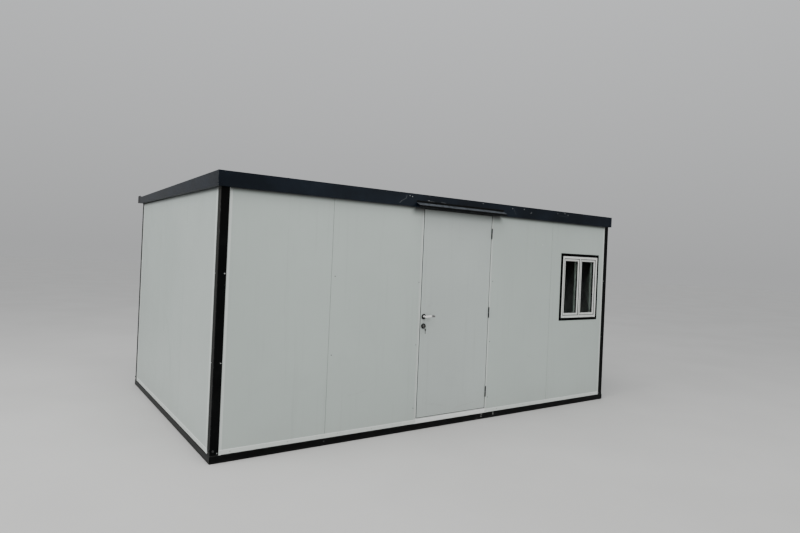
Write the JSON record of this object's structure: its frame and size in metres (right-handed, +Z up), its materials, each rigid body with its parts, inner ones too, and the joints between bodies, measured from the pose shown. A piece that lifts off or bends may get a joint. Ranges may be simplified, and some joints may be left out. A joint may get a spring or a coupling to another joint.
{
  "type": "portable site cabin",
  "caption": "Steel-framed cabin of smooth sandwich panels with a flush outward door, a small double sash window, a deep dark fascia, a drip cap and a rear gutter.",
  "frame": {"origin": "centre of the base frame at ground level, on the underside of the middle floor joist", "axes": "+X along the front towards the window end, +Y from the front to the rear, +Z up"},
  "size_m": [4.843, 3.179, 2.2381],
  "materials": {
    "base_steel": "semi-gloss black paint, dusty and scuffed",
    "floor_board": "matt sheet floor covering on board",
    "post_steel": "semi-gloss near-black paint",
    "wall_panel": "smooth coated steel, light grey",
    "light_trim": "coated steel, lighter grey",
    "sill_strip": "pale coated strip, scuffed where people step",
    "roof_sheet": "ribbed coated steel",
    "fascia_sheet": "anthracite coated steel with fine scratches",
    "gutter_sheet": "black coated steel",
    "drip_sheet": "anthracite coated steel",
    "door_skin": "smooth coated steel, light grey",
    "hinge_steel": "black hinges",
    "lock_steel": "brushed",
    "rose_black": "black",
    "lever_steel": "satin",
    "key_steel": "worn nickel",
    "casing_black": "black",
    "upvc_white": "white window profile, dusty in the grooves",
    "glass": "clear double glazing",
    "spacer_black": "black spacer bar",
    "handle_white": "white"
  },
  "bodies": {
    "root": {"base_rails_long": "base_steel", "base_rails_end": "base_steel", "floor_joists": "base_steel", "floor_deck": "floor_board", "corner_post_front_left": "post_steel", "corner_post_front_right": "post_steel", "corner_post_rear_left": "post_steel", "corner_post_rear_right": "post_steel", "front_panel_1": "wall_panel", "front_panel_2": "wall_panel", "front_panel_3": "wall_panel", "front_panel_4": "wall_panel", "left_wall_panels": "wall_panel", "right_wall_panels": "wall_panel", "rear_wall_panels": "wall_panel", "bottom_tracks": "light_trim", "edge_trims": "light_trim", "ceiling_angles": "light_trim", "top_beam_front": "post_steel", "top_beam_rear": "post_steel", "top_beams_end": "post_steel", "roof_panels": "roof_sheet", "fascia_front": "fascia_sheet", "fascia_left": "fascia_sheet", "fascia_right": "fascia_sheet", "fascia_covers": "fascia_sheet", "rear_gutter": "gutter_sheet", "drip_cap": "drip_sheet", "door_jamb_left": "light_trim", "door_jamb_right": "light_trim", "door_head": "light_trim", "door_threshold": "sill_strip", "hinge_frame_halves": "hinge_steel", "window_casings": "casing_black", "window_frame": "upvc_white", "window_sashes": "upvc_white", "window_glass": "glass", "glass_spacers": "spacer_black", "sash_handle": "handle_white"},
    "door": {"door_leaf": "door_skin", "hinge_door_halves": "hinge_steel", "lock": "lock_steel", "roses": "rose_black", "keys": "key_steel"},
    "lever": {"lever_handles": "lever_steel"}
  },
  "joints": [
    {"name": "door_hinge", "type": "hinge", "parent": "root", "child": "door", "pos_m": [0.432, -1.48386, 1.1], "axis": [0, 0, 1], "range_deg": [0, 100]},
    {"name": "lever_turn", "type": "hinge", "parent": "door", "child": "lever", "pos_m": [-0.412, -1.456, 1.0795], "axis": [0, 1, 0], "range_deg": [0, 45], "stiffness_Nm_per_rad": 1.5, "springref_deg": -28.65}
  ]
}
